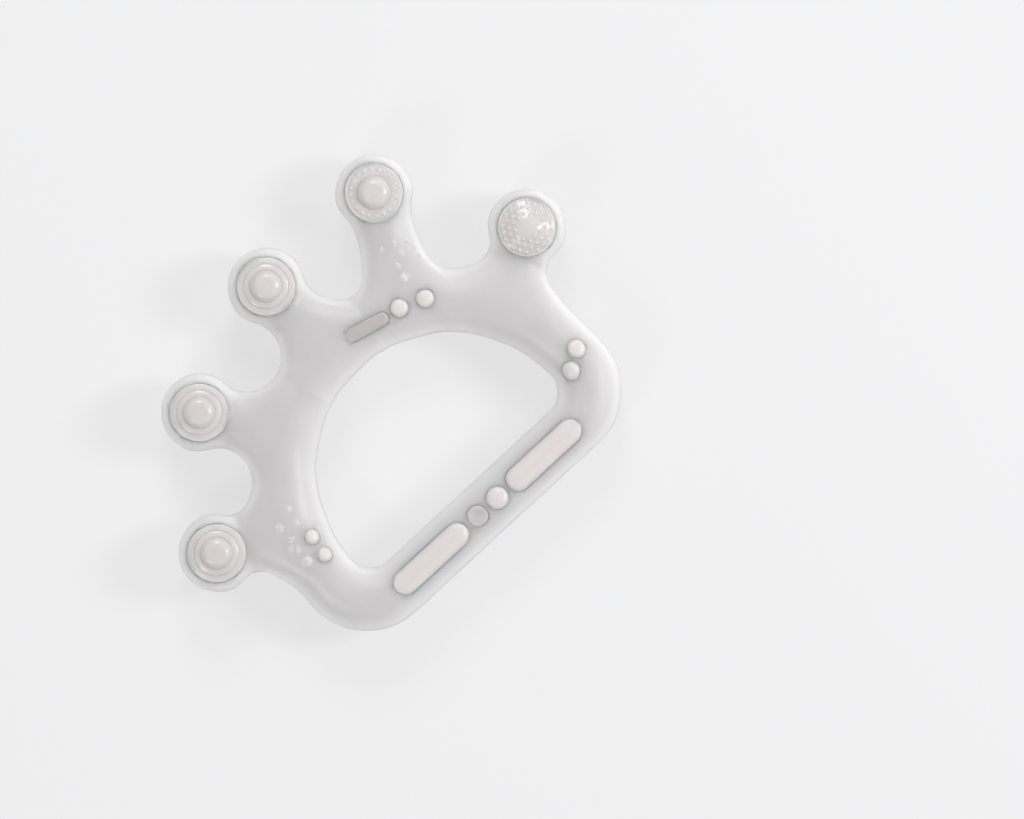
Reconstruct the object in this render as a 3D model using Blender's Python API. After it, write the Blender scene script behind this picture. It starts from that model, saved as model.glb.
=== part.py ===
"""Crown-shaped cooling teething ring: two bonded silicone half shells around a gel filling,
a round grip hole, a straight grip bar, five knobbed fingers, and soft pads set into pockets.
The ring lies flat: X along the grip bar, Y from the bar to the fingers, Z through its thickness."""
import math

import bmesh
import bpy
import numpy as np
from mathutils import Matrix, Vector
from mathutils.bvhtree import BVHTree

# ---- driving dimensions, in metres and degrees -------------------------------------------

# grip hole and band
HOLE_RADIUS = 0.0267
HOLE_SIDE_TRIM = 0.0009          # how much narrower the hole is at its sides than at its top
HOLE_BOTTOM = -0.0038            # Y of the bar's inner edge
HOLE_CORNER = 0.0048
BAND_HALF_THICK = 0.0060
BAND_WIDTH = 0.0110              # from the hole to the outer edge, below the first and last finger
BAR_BOTTOM = -0.0146             # Y of the bar's outer edge
BAR_THINNING = 0.0004            # how much nearer the middle the bar's faces are than the band's
CORNER_INSET = 0.0031            # how far inside the hole's radius each lower corner's centre lies
CORNER_RADIUS = 0.0138

# fingers: direction of each axis, and how far its knob's centre stands beyond the hole's edge
FINGER_ANGLES = (156.2, 124.3, 92.9, 63.5, 30.9)
FINGER_REACH = (0.0211, 0.0231, 0.0235, 0.0284, 0.0216)
NECK_HALF_WIDTH = 0.0057
NECK_HALF_THICK = 0.0049
VALLEY_RADIUS = 0.0065           # the round gap between two fingers
VALLEY_REACH = 0.0185            # how far beyond the hole's edge that gap's centre lies
KNOB_RADIUS = 0.00745
KNOB_HALF_THICK = 0.0062
KNOB_SQUARENESS = 3.0            # 2 is an ellipsoid; higher is flatter on top

# shells and filling
WALL = 0.0020
GAP = 0.0003                     # clearance wherever two pieces meet

# pads set into the knobs
PAD_RADIUS = 0.0055
PAD_SEAT = 0.0050                # height of the pocket's domed floor above the middle plane
SEAT_DROP = 0.0007               # how much lower that floor is at its rim
PAD_TOP = 0.0073                 # height of the dome's flat top above the middle plane
PAD_FLAT = 0.0016                # radius of that flat
STUD_RADIUS = 0.00045
STUD_PITCH = 0.00150

# raised bars and dots; those on the band are placed round a hole of DOT_HOLE, and move out with
# the hole's edge when it is wider
DOT_HOLE = 0.0267
SEAT_DEPTH = 0.00095             # pocket depth below the skin
RAISE = 0.00075                  # how far a bar or dot stands above the skin
BAR_PAD_LENGTH = 0.0176
BAR_PAD_HALF_WIDTH = 0.0022
BAR_PAD_X = 0.0145               # distance of each bar pad's middle from the middle of the row
ROW_Y = -0.0091                  # the row of pads along the grip bar
CENTRE_DOT_X = 0.00255
CENTRE_DOT_RADIUS = 0.0020
LEFT_DOTS = ((-0.0283, 0.0093), (-0.0288, 0.0052))
LEFT_DOT_RADIUS = 0.00135
RIGHT_DOTS = ((0.0328, 0.0015), (0.0291, -0.0009))
RIGHT_DOT_RADIUS = 0.00165
TOP_DOTS = ((0.0181, 0.0280), (0.0133, 0.0300))
TOP_DOT_RADIUS = 0.0016
TOP_RIB_MIDDLE = (0.0063, 0.03145)
TOP_RIB_ALONG = (-0.97, 0.25)
TOP_RIB_LENGTH = 0.0082
TOP_RIB_HALF_WIDTH = 0.0014
TOP_RIB_RAISE = 0.00040
PLUG_STEM_RADIUS = 0.0011
ROUND_STEPS = 22                 # flats round a knob pad
SMALL_STEPS = 16                 # flats round a dot or a bar's ends

# colours
SILICONE = (0.80, 0.81, 0.83, 1.0)
PAD_WHITE = (0.88, 0.85, 0.85, 1.0)
GEL_CLEAR = (0.78, 0.82, 0.86, 1.0)
PLUG_GREY = (0.74, 0.74, 0.75, 1.0)


# ---- helpers ------------------------------------------------------------------------------

def clear_scene():
    for ob in list(bpy.data.objects):
        bpy.data.objects.remove(ob, do_unlink=True)


def material(name, colour, roughness):
    mat = bpy.data.materials.new(name)
    mat.use_nodes = True
    shader = mat.node_tree.nodes["Principled BSDF"]
    shader.inputs["Base Color"].default_value = colour
    shader.inputs["Roughness"].default_value = roughness
    return mat


def polar(radius, angle_deg):
    a = math.radians(angle_deg)
    return np.array([radius * math.cos(a), radius * math.sin(a)])


def mesh_object(name, bm, mat=None):
    bmesh.ops.recalc_face_normals(bm, faces=bm.faces)
    for face in bm.faces:
        face.smooth = True
    mesh = bpy.data.meshes.new(name)
    bm.to_mesh(mesh)
    bm.free()
    ob = bpy.data.objects.new(name, mesh)
    bpy.context.collection.objects.link(ob)
    if mat:
        mesh.materials.append(mat)
    return ob


def bake_modifiers(ob):
    deps = bpy.context.evaluated_depsgraph_get()
    mesh = bpy.data.meshes.new_from_object(ob.evaluated_get(deps))
    ob.modifiers.clear()
    old = ob.data
    ob.data = mesh
    bpy.data.meshes.remove(old)


# ---- the ring's control cage ----------------------------------------------------------------

SECTION = 6                      # points round a section, from the outer edge over the top
KNOB_RINGS = (126, 98, 70, 42, 14)   # rings round a knob, in equal steps that also span its tip
BAR_SHARES = (0.85, 0.58, 0.21)    # where the bar's stations lie, from its middle to its corners


def hole_point(angle_deg):
    side = abs(math.cos(math.radians(angle_deg))) ** 4
    return polar(HOLE_RADIUS - HOLE_SIDE_TRIM * side, angle_deg)


def finger_frame(index):
    axis = polar(1.0, FINGER_ANGLES[index])
    left = np.array([-axis[1], axis[0]])
    return axis, left


def on_band(angle_deg, beyond):
    """The point in this direction from the hole's centre, so far beyond the hole's edge."""
    return polar(HOLE_RADIUS + beyond, angle_deg)


def beside_hole(x, y):
    """A dot's place, moved out from the hole's centre with the hole's edge."""
    share = 1 + (HOLE_RADIUS - DOT_HOLE) / math.hypot(x, y)
    return x * share, y * share


def valley_half_angle():
    steps = [a - b for a, b in zip(FINGER_ANGLES, FINGER_ANGLES[1:])]
    return math.radians(sum(steps) / len(steps) / 2)


def finger_base():
    """Where a finger's flank leaves the band: distance along the axis, and to its side."""
    half = valley_half_angle()
    lean = math.radians(35)
    out = HOLE_RADIUS + VALLEY_REACH - VALLEY_RADIUS * math.cos(lean)
    side = VALLEY_RADIUS * math.sin(lean)
    along = out * math.cos(half) + side * math.sin(half)
    across = out * math.sin(half) - side * math.cos(half)
    return along, across


def band_stations():
    """Stations round the band, each (inner point, outer point, half thickness, kind)."""
    along, across = finger_base()
    spread = math.degrees(math.atan2(across, along))
    stations = []
    for i, angle in enumerate(FINGER_ANGLES):
        axis, left = finger_frame(i)
        stations.append((hole_point(angle + spread * 0.8), axis * along + left * across,
                         BAND_HALF_THICK, "finger"))
        stations.append((hole_point(angle - spread * 0.8), axis * along - left * across,
                         BAND_HALF_THICK, "plain"))
        if i + 1 < len(FINGER_ANGLES):
            middle = (angle + FINGER_ANGLES[i + 1]) / 2
            stations.append((hole_point(middle), on_band(middle, VALLEY_REACH - VALLEY_RADIUS),
                             BAND_HALF_THICK, "plain"))
    last = (FINGER_ANGLES[-1] - spread) / 2
    stations.append((hole_point(last), on_band(last, BAND_WIDTH), BAND_HALF_THICK, "plain"))
    corner_in = HOLE_RADIUS - HOLE_SIDE_TRIM - HOLE_CORNER
    corner_out = HOLE_RADIUS - CORNER_INSET
    corner_y = BAR_BOTTOM + CORNER_RADIUS
    turns = (-2, -28, -55, -82)
    for turn in turns:
        inner = np.array([corner_in, HOLE_BOTTOM + HOLE_CORNER]) + polar(HOLE_CORNER, turn)
        outer = np.array([corner_out, corner_y]) + polar(CORNER_RADIUS, turn)
        stations.append((inner, outer, BAND_HALF_THICK, "plain"))
    for x in [corner_in * share for share in BAR_SHARES + tuple(-b for b in reversed(BAR_SHARES))]:
        stations.append((np.array([x, HOLE_BOTTOM]), np.array([x, BAR_BOTTOM]),
                         BAND_HALF_THICK - BAR_THINNING, "plain"))
    for turn in reversed(turns):
        mirror = np.array([-1.0, 1.0])
        inner = np.array([corner_in, HOLE_BOTTOM + HOLE_CORNER]) + polar(HOLE_CORNER, turn)
        outer = np.array([corner_out, corner_y]) + polar(CORNER_RADIUS, turn)
        stations.append((inner * mirror, outer * mirror, BAND_HALF_THICK, "plain"))
    first = (FINGER_ANGLES[0] + spread + 181) / 2
    stations.append((hole_point(first), on_band(first, BAND_WIDTH), BAND_HALF_THICK, "plain"))
    return stations


def knob_height(distance):
    p = KNOB_SQUARENESS
    ratio = min(distance / KNOB_RADIUS, 1.0)
    return KNOB_HALF_THICK * (1 - ratio ** p) ** (1 / p)


def finger_rings(index):
    """Rings from neck to knob tip: each a list of (along, across, height) round the section."""
    reach = HOLE_RADIUS + FINGER_REACH[index]
    along, across = finger_base()
    flare = KNOB_RADIUS * math.cos(math.radians(KNOB_RINGS[0]))
    neck = (along + reach + flare) / 2
    into_valley = max((HOLE_RADIUS + VALLEY_REACH) * math.cos(valley_half_angle()) - neck, 0.0)
    bulge = VALLEY_RADIUS - math.sqrt(VALLEY_RADIUS ** 2 - into_valley ** 2)
    width = NECK_HALF_WIDTH + bulge
    turn = 2 * math.pi / SECTION
    rings = [[(neck, width * math.cos(k * turn), NECK_HALF_THICK * math.sin(k * turn))
              for k in range(SECTION)]]
    for angle in KNOB_RINGS:
        s = KNOB_RADIUS * math.cos(math.radians(angle))
        w = KNOB_RADIUS * math.sin(math.radians(angle))
        ring = []
        for k in range(SECTION):
            side = w * math.cos(k * turn)
            up = (0, 1, 1, 0, -1, -1)[k]
            ring.append((reach + s, side, up * knob_height(math.hypot(s, side))))
        rings.append(ring)
    return rings


def build_cage():
    """Quads through the points the skin should pass through, before the solve below."""
    bm = bmesh.new()
    stations = band_stations()
    loops = []
    turn = 2 * math.pi / SECTION
    for inner, outer, thick, _ in stations:
        middle = (inner + outer) / 2
        reach = (outer - inner) / 2
        loop = []
        for k in range(SECTION):
            at = middle + reach * math.cos(k * turn)
            loop.append(bm.verts.new((at[0], at[1], thick * math.sin(k * turn))))
        loops.append(loop)
    count = len(stations)
    roots = [i for i, station in enumerate(stations) if station[3] == "finger"]
    for i in range(count):
        a, b = loops[i], loops[(i + 1) % count]
        for k in range(SECTION):
            if i in roots and k in (0, SECTION - 1):
                continue
            n = (k + 1) % SECTION
            bm.faces.new((a[k], a[n], b[n], b[k]))
    for index, i in enumerate(roots):
        axis, left = finger_frame(index)
        a, b = loops[i], loops[i + 1]
        # the finger grows from the opening left in the band's outer edge
        ring = [a[0], a[1], b[1], b[0], b[SECTION - 1], a[SECTION - 1]]
        for spec in finger_rings(index):
            new = []
            for along, across, height in spec:
                at = axis * along + left * across
                new.append(bm.verts.new((at[0], at[1], height)))
            for k in range(SECTION):
                n = (k + 1) % SECTION
                bm.faces.new((ring[k], ring[n], new[n], new[k]))
            ring = new
        bm.faces.new(ring[0:4])
        bm.faces.new(ring[3:6] + ring[0:1])
    bmesh.ops.recalc_face_normals(bm, faces=bm.faces)
    return bm


def solve_cage(bm):
    """Move the cage so its smoothed surface passes through the cage's present points."""
    bm.verts.index_update()
    n = len(bm.verts)
    weights = np.zeros((n, n))
    for v in bm.verts:
        valence = len(v.link_edges)
        total = valence * (valence + 5)
        weights[v.index, v.index] += valence * valence / total
        for edge in v.link_edges:
            weights[v.index, edge.other_vert(v).index] += 4 / total
        for face in v.link_faces:
            corners = list(face.verts)
            across = corners[(corners.index(v) + 2) % 4]
            weights[v.index, across.index] += 1 / total
    target = np.array([v.co[:] for v in bm.verts])
    solved = np.linalg.solve(weights, target)
    for v, co in zip(bm.verts, solved):
        v.co = co


def skin_meshes():
    """Vertex rows of the outer skin, the wall's inner face and the filling, with shared faces."""
    bm = build_cage()
    solve_cage(bm)
    cage = mesh_object("cage", bm)
    smooth = cage.modifiers.new("smooth", "SUBSURF")
    smooth.levels = 1
    smooth.render_levels = 1
    bake_modifiers(cage)
    mesh = cage.data
    outer = np.array([v.co[:] for v in mesh.vertices])
    normal = np.array([v.normal[:] for v in mesh.vertices])
    faces = [tuple(p.vertices) for p in mesh.polygons]
    bpy.data.objects.remove(cage, do_unlink=True)
    return outer, outer - normal * WALL, outer - normal * (WALL + GAP), faces


def half_shell(name, outer, inner, faces, sign, mat):
    """One half of the hollow ring, closed along the parting plane by a flat bonding rim."""
    bm = bmesh.new()
    middle = np.abs(outer[:, 2]) < 1e-6
    keep = [f for f in faces if all(outer[i, 2] * sign > -1e-6 for i in f)]
    used = sorted({i for f in keep for i in f})
    shift = Vector((0, 0, sign * GAP / 2))
    out = {i: bm.verts.new(Vector(outer[i]) + shift) for i in used}
    inn = {i: bm.verts.new(Vector(inner[i]) + shift) for i in used}
    edges = {}
    for f in keep:
        bm.faces.new([out[i] for i in f])
        bm.faces.new([inn[i] for i in reversed(f)])
        for a, b in zip(f, f[1:] + f[:1]):
            if middle[a] and middle[b]:
                edges[(a, b)] = True
    for a, b in edges:
        bm.faces.new((out[b], out[a], inn[a], inn[b]))
    return mesh_object(name, bm, mat)


def closed_skin(name, points, faces, mat):
    bm = bmesh.new()
    verts = [bm.verts.new(p) for p in points]
    for f in faces:
        bm.faces.new([verts[i] for i in f])
    return mesh_object(name, bm, mat)


# ---- turned and extruded pieces ---------------------------------------------------------------

def turned(name, profile, mat=None, steps=ROUND_STEPS):
    """A closed solid of revolution about Z; the profile runs from the axis back to the axis."""
    bm = bmesh.new()
    rings = []
    for radius, height in profile:
        if radius == 0:
            rings.append([bm.verts.new((0, 0, height))])
            continue
        rings.append([bm.verts.new((radius * math.cos(2 * math.pi * k / steps),
                                    radius * math.sin(2 * math.pi * k / steps), height))
                      for k in range(steps)])
    for a, b in zip(rings, rings[1:]):
        for k in range(steps):
            n = (k + 1) % steps
            corners = [a[k % len(a)], a[n % len(a)], b[n % len(b)], b[k % len(b)]]
            bm.faces.new(list(dict.fromkeys(corners)))
    return mesh_object(name, bm, mat)


def capsule(name, half_length, layers, mat=None):
    """A bar with round ends: each layer is (half width, height), bottom to top."""
    bm = bmesh.new()
    ends = SMALL_STEPS // 2
    rings = []
    for half_width, height in layers:
        ring = []
        for end in (1, -1):
            for k in range(ends + 1):
                a = math.pi * (k / ends - 0.5)
                x = end * (half_length - layers[0][0] + half_width * math.cos(a))
                ring.append(bm.verts.new((x, end * half_width * math.sin(a), height)))
        rings.append(ring)
    for a, b in zip(rings, rings[1:]):
        for k in range(len(a)):
            n = (k + 1) % len(a)
            bm.faces.new((a[k], a[n], b[n], b[k]))
    bm.faces.new(rings[0])
    bm.faces.new(rings[-1])
    return mesh_object(name, bm, mat)


def place(ob, matrix):
    ob.data.transform(matrix)
    ob.data.update()


def cut(target, cutter):
    cutter.hide_render = True
    cutter.display_type = "WIRE"
    boolean = target.modifiers.new("pocket", "BOOLEAN")
    boolean.operation = "DIFFERENCE"
    boolean.solver = "EXACT"
    boolean.object = cutter
    bake_modifiers(target)
    bpy.data.objects.remove(cutter, do_unlink=True)


def union(target, other):
    boolean = target.modifiers.new("join", "BOOLEAN")
    boolean.operation = "UNION"
    boolean.solver = "EXACT"
    boolean.object = other
    bake_modifiers(target)
    bpy.data.objects.remove(other, do_unlink=True)


def seat_frame(tree, x, y, sign, along=(1.0, 0.0)):
    """A frame on the skin above or below (x, y): Z out of the skin, X as near as can be to along."""
    start = Vector((x, y, sign * 0.05))
    hit, normal, _, _ = tree.ray_cast(start, Vector((0, 0, -sign)))
    up = normal.normalized() if normal.z * sign > 0 else -normal.normalized()
    ahead = Vector((along[0], along[1], 0))
    ahead = (ahead - up * ahead.dot(up)).normalized()
    side = up.cross(ahead)
    frame = Matrix((ahead, side, up)).transposed().to_4x4()
    frame.translation = hit + Vector((0, 0, sign * GAP / 2))
    return frame


# ---- pads on the knobs ------------------------------------------------------------------------

# outline from rim to middle: fraction of the pad's radius, fraction of its height above the seat
STEPPED = ((0.96, 0.0), (1.0, 0.10), (0.97, 0.30), (0.79, 0.40), (0.75, 0.56), (0.53, 0.64),
           (0.49, 0.83), (0.38, 0.95))
DOMED = ((0.96, 0.0), (1.0, 0.10), (0.96, 0.31), (0.62, 0.43), (0.50, 0.49), (0.46, 0.79),
         (0.37, 0.94))
LOW = ((0.96, 0.0), (1.0, 0.10), (0.96, 0.31), (0.72, 0.49), (0.52, 0.73), (0.40, 0.93))


def seat_floor(radius):
    """The domed seat under a pad: (radius, height) pairs from the middle to a rim."""
    return [(f * radius, PAD_SEAT - SEAT_DROP * f ** 2) for f in (0.0, 0.62, 1.0)]


def pad_profile(outline):
    low = PAD_SEAT + GAP - SEAT_DROP
    rise = PAD_TOP - low
    points = [(r, h + GAP) for r, h in seat_floor(PAD_RADIUS)[:-1]]
    points += [(r * PAD_RADIUS, low + h * rise) for r, h in outline]
    points += [(PAD_FLAT, PAD_TOP), (0.0, PAD_TOP)]
    return points


def outline_height(outline, radius):
    """Height of a pad's top at some distance from its middle."""
    profile = pad_profile(outline)[2:-1]
    for (r0, h0), (r1, h1) in zip(profile, profile[1:]):
        if r1 <= radius <= r0:
            return h0 + (h1 - h0) * (r0 - radius) / max(r0 - r1, 1e-9)
    return profile[-1][1]


def studs(outline, places):
    """Small round nubs, sunk by half into a pad's top at each (x, y)."""
    joined = bmesh.new()
    for x, y in places:
        ring_at = outline_height(outline, math.hypot(x, y))
        spot = Matrix.Translation((x, y, ring_at))
        bmesh.ops.create_icosphere(joined, subdivisions=1, radius=STUD_RADIUS, matrix=spot)
    return mesh_object("studs", joined)


def stud_ring(radius, count):
    return [(radius * math.cos(2 * math.pi * k / count), radius * math.sin(2 * math.pi * k / count))
            for k in range(count)]


def stud_field(inner, outer):
    """Nubs in staggered rows between two radii."""
    places = []
    rows = int(outer / (STUD_PITCH * 0.87)) + 1
    for row in range(-rows, rows + 1):
        y = row * STUD_PITCH * 0.87
        for col in range(-rows, rows + 1):
            x = (col + 0.5 * (row % 2)) * STUD_PITCH
            if inner < math.hypot(x, y) < outer:
                places.append((x, y))
    return places


def knob_pad(name, outline, places, mat, index, sign):
    pad = turned(name, pad_profile(outline), mat)
    if places:
        union(pad, studs(outline, places))
    axis, _ = finger_frame(index)
    at = axis * (HOLE_RADIUS + FINGER_REACH[index])
    flip = Matrix.Identity(4) if sign > 0 else Matrix.Rotation(math.pi, 4, "X")
    place(pad, Matrix.Translation((at[0], at[1], sign * GAP / 2)) @ flip)
    return pad


def pad_pocket(index, sign):
    radius = PAD_RADIUS + GAP
    pocket = turned("pocket", seat_floor(radius) + [(radius, 2 * PAD_TOP), (0, 2 * PAD_TOP)])
    axis, _ = finger_frame(index)
    at = axis * (HOLE_RADIUS + FINGER_REACH[index])
    flip = Matrix.Identity(4) if sign > 0 else Matrix.Rotation(math.pi, 4, "X")
    place(pocket, Matrix.Translation((at[0], at[1], sign * GAP / 2)) @ flip)
    return pocket


# ---- bars, dots and the filling plug ----------------------------------------------------------

def raised_layers(half_width, raise_height):
    """Cross-section of a raised bar or dot: flat base in its pocket, softly domed top."""
    base = -SEAT_DEPTH + GAP
    return ((half_width, base), (half_width, raise_height * 0.45),
            (half_width * 0.86, raise_height * 0.82), (half_width * 0.60, raise_height))


def bar_piece(name, frame, half_length, half_width, raise_height, mat):
    bar = capsule(name, half_length, raised_layers(half_width, raise_height), mat)
    place(bar, frame)
    pocket = capsule("pocket", half_length + GAP,
                     ((half_width + GAP, -SEAT_DEPTH), (half_width + GAP, 3 * RAISE)))
    place(pocket, frame)
    return bar, pocket


def dot_piece(name, frame, radius, mat):
    layers = raised_layers(radius, RAISE)
    dot = turned(name, [(0, layers[0][1])] + list(layers) + [(0, layers[-1][1])], mat, SMALL_STEPS)
    place(dot, frame)
    pocket = turned("pocket", [(0, -SEAT_DEPTH), (radius + GAP, -SEAT_DEPTH),
                               (radius + GAP, 3 * RAISE), (0, 3 * RAISE)], None, SMALL_STEPS)
    place(pocket, frame)
    return dot, pocket


def plug_piece(name, frame, radius, mat):
    """The filling plug: a thin flange in a shallow seat, and a stem that fills the port."""
    stem = PLUG_STEM_RADIUS
    base = -SEAT_DEPTH + GAP
    top = RAISE * 0.45
    plug = turned(name, [(0, -WALL), (stem, -WALL), (stem, base), (radius, base),
                         (radius, top * 0.6), (radius * 0.88, top), (0, top)], mat, SMALL_STEPS)
    place(plug, frame)
    port = stem + GAP
    pocket = turned("pocket", [(0, -2 * WALL), (port, -2 * WALL), (port, -SEAT_DEPTH),
                               (radius + GAP, -SEAT_DEPTH), (radius + GAP, 3 * RAISE),
                               (0, 3 * RAISE)], None, SMALL_STEPS)
    place(pocket, frame)
    return plug, pocket


# ---- assembly ---------------------------------------------------------------------------------

def build():
    clear_scene()
    silicone = material("silicone", SILICONE, 0.45)
    white = material("pad_white", PAD_WHITE, 0.30)
    clear_gel = material("gel", GEL_CLEAR, 0.10)
    grey = material("plug_grey", PLUG_GREY, 0.35)

    outer, inner, fill, faces = skin_meshes()
    front = half_shell("front_shell", outer, inner, faces, 1, silicone)
    back = half_shell("back_shell", outer, inner, faces, -1, silicone)
    shells = {1: front, -1: back}
    pieces = [front, back, closed_skin("cooling_gel", fill, faces, clear_gel)]
    tree = BVHTree.FromPolygons([Vector(p) for p in outer], faces)
    pockets = {1: [], -1: []}

    rings = [(STEPPED, []), (STEPPED, []), (STEPPED, []),
             (DOMED, stud_ring(0.82 * PAD_RADIUS, 16)),
             (LOW, stud_field(0.34 * PAD_RADIUS, 0.90 * PAD_RADIUS))]
    for index, (outline, places) in enumerate(rings):
        pieces.append(knob_pad("front_knob_pad_%d" % (index + 1), outline, places, white, index, 1))
        pieces.append(knob_pad("back_knob_pad_%d" % (index + 1), LOW, [], white, index, -1))
        pockets[1].append(pad_pocket(index, 1))
        pockets[-1].append(pad_pocket(index, -1))

    for sign, face in ((1, "front"), (-1, "back")):
        for side, word in ((-1, "left"), (1, "right")):
            frame = seat_frame(tree, side * BAR_PAD_X, ROW_Y, sign)
            bar, pocket = bar_piece("%s_grip_bar_%s" % (face, word), frame, BAR_PAD_LENGTH / 2,
                                    BAR_PAD_HALF_WIDTH, RAISE, white)
            pieces.append(bar)
            pockets[sign].append(pocket)

    dots = [("centre_dot", (CENTRE_DOT_X, ROW_Y), CENTRE_DOT_RADIUS)]
    for group, spots, radius in (("left_dot", LEFT_DOTS, LEFT_DOT_RADIUS),
                                 ("right_dot", RIGHT_DOTS, RIGHT_DOT_RADIUS),
                                 ("top_dot", TOP_DOTS, TOP_DOT_RADIUS)):
        for k, spot in enumerate(spots):
            dots.append(("%s_%d" % (group, k + 1), beside_hole(*spot), radius))
    for name, (x, y), radius in dots:
        dot, pocket = dot_piece(name, seat_frame(tree, x, y, 1), radius, white)
        pieces.append(dot)
        pockets[1].append(pocket)
    frame = seat_frame(tree, *beside_hole(*TOP_RIB_MIDDLE), 1, TOP_RIB_ALONG)
    rib, pocket = bar_piece("top_rib", frame, TOP_RIB_LENGTH / 2, TOP_RIB_HALF_WIDTH,
                            TOP_RIB_RAISE, silicone)
    pieces.append(rib)
    pockets[1].append(pocket)
    plug, pocket = plug_piece("filling_plug", seat_frame(tree, -CENTRE_DOT_X, ROW_Y, 1),
                              CENTRE_DOT_RADIUS, grey)
    pieces.append(plug)
    pockets[1].append(pocket)

    for sign, cutters in pockets.items():
        for cutter in cutters:
            cut(shells[sign], cutter)

    corners = [v.co for ob in pieces for v in ob.data.vertices]
    low = [min(co[a] for co in corners) for a in range(3)]
    high = [max(co[a] for co in corners) for a in range(3)]
    home = Matrix.Translation((-(low[0] + high[0]) / 2, -(low[1] + high[1]) / 2, -low[2]))
    for ob in pieces:
        place(ob, home)
    print("hole centre in the part's frame", [round(v, 6) for v in home.translation])
    print("size", [round(high[a] - low[a], 6) for a in range(3)])


build()
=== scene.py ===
# %% [markdown]
# # A cooling teething ring in frosted silicone
#
# This lesson builds a baby's teething ring: a hollow D-shaped ring of milky silicone with five
# knobbed fingers, filled with clear gel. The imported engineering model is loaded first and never
# moved. It says where everything is, and each finer piece below takes the place of one of its
# nodes, so the looks and the mechanics always agree.

# %% Load the engineering model
import math

import bmesh
import bpy
import numpy as np
from mathutils import Matrix, Vector
from mathutils.bvhtree import BVHTree


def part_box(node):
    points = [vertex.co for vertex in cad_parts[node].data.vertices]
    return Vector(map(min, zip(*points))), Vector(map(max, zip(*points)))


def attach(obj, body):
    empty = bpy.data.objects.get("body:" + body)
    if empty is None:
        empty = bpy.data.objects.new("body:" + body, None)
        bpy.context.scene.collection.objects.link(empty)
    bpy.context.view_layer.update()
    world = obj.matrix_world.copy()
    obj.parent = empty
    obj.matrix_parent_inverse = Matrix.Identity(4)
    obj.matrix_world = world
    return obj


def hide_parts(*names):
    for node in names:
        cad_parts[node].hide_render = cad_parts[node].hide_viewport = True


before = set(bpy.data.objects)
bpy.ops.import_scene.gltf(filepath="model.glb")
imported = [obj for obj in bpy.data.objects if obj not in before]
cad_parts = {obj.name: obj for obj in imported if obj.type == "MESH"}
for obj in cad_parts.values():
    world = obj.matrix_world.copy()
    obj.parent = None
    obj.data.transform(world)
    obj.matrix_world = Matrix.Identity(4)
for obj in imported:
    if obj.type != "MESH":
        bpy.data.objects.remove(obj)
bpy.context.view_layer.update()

# %% [markdown]
# ## Where the ring's centre is
#
# The ring was laid out from one point: the middle of its round grip hole. The model's origin is
# elsewhere, under the middle of its box, so the layout point is worked back from a piece whose
# place in the layout is known: the pad on the middle knob stands 50.2 mm from it at 92.9 degrees.
# Its height is the plane where the two half shells meet, half a gap below the front one.

# %% Find the layout point
FINGER_ANGLES = (156.2, 124.3, 92.9, 63.5, 30.9)
FINGER_REACH = (0.0478, 0.0498, 0.0502, 0.0551, 0.0483)
GAP = 0.0003


def polar(radius, angle_deg):
    a = math.radians(angle_deg)
    return np.array([radius * math.cos(a), radius * math.sin(a)])


pad_low, pad_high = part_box("front_knob_pad_3")
pad_middle = (pad_low + pad_high) / 2
step = polar(FINGER_REACH[2], FINGER_ANGLES[2])
shell_low, shell_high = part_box("front_shell")
CENTRE = Vector((pad_middle.x - step[0], pad_middle.y - step[1], shell_low.z - GAP / 2))
print("layout point in mm:", [round(v * 1000, 2) for v in CENTRE])

# %% [markdown]
# ## A cage for one smooth skin
#
# The real ring is moulded in a tool that was shaped by hand, so every surface flows into the
# next. A subdivision surface does the same: a coarse cage of quads is smoothed into a skin with
# no creases. The cage has six points round the band's section at each station. Where a finger
# leaves, the two outer quads are left out, and the finger's own rings start from that opening.

# %% The band's stations
HOLE_RADIUS = 0.0267
HOLE_SIDE_TRIM = 0.0009
HOLE_BOTTOM = -0.0038
HOLE_CORNER = 0.0048
BAND_HALF_THICK = 0.0060
SIDE_RADIUS = 0.0377
BAR_BOTTOM = -0.0146
BAR_HALF_THICK = 0.0056
CORNER_CENTRE = 0.0236
CORNER_RADIUS = 0.0138
VALLEY_RADIUS = 0.0065
VALLEY_REACH = 0.0452
SECTION = 6
INNER_SPREAD = 0.8  # round the hole the stations stand this much closer than the fingers' roots
LEFT_BAND_END = 181  # degrees, where the band ends and the lower left corner begins


def hole_point(angle_deg):
    side = abs(math.cos(math.radians(angle_deg))) ** 4
    return polar(HOLE_RADIUS - HOLE_SIDE_TRIM * side, angle_deg)


half_pitch = math.radians((FINGER_ANGLES[0] - FINGER_ANGLES[-1]) / (2 * len(FINGER_ANGLES) - 2))
lean = math.radians(35)  # how far down a valley's flank the finger starts
flank_out = VALLEY_REACH - VALLEY_RADIUS * math.cos(lean)
flank_side = VALLEY_RADIUS * math.sin(lean)
ROOT_ALONG = flank_out * math.cos(half_pitch) + flank_side * math.sin(half_pitch)
ROOT_ACROSS = flank_out * math.sin(half_pitch) - flank_side * math.cos(half_pitch)
SPREAD = math.degrees(math.atan2(ROOT_ACROSS, ROOT_ALONG))
bar_end = HOLE_RADIUS - HOLE_SIDE_TRIM - HOLE_CORNER


def finger_axes(index):
    axis = polar(1.0, FINGER_ANGLES[index])
    return axis, np.array([-axis[1], axis[0]])


def corner_station(turn, side):
    mirror = np.array([side, 1.0])
    inner = np.array([bar_end, HOLE_BOTTOM + HOLE_CORNER])
    outer = np.array([CORNER_CENTRE, BAR_BOTTOM + CORNER_RADIUS])
    return ((inner + polar(HOLE_CORNER, turn)) * mirror,
            (outer + polar(CORNER_RADIUS, turn)) * mirror, BAND_HALF_THICK, False)


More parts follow.
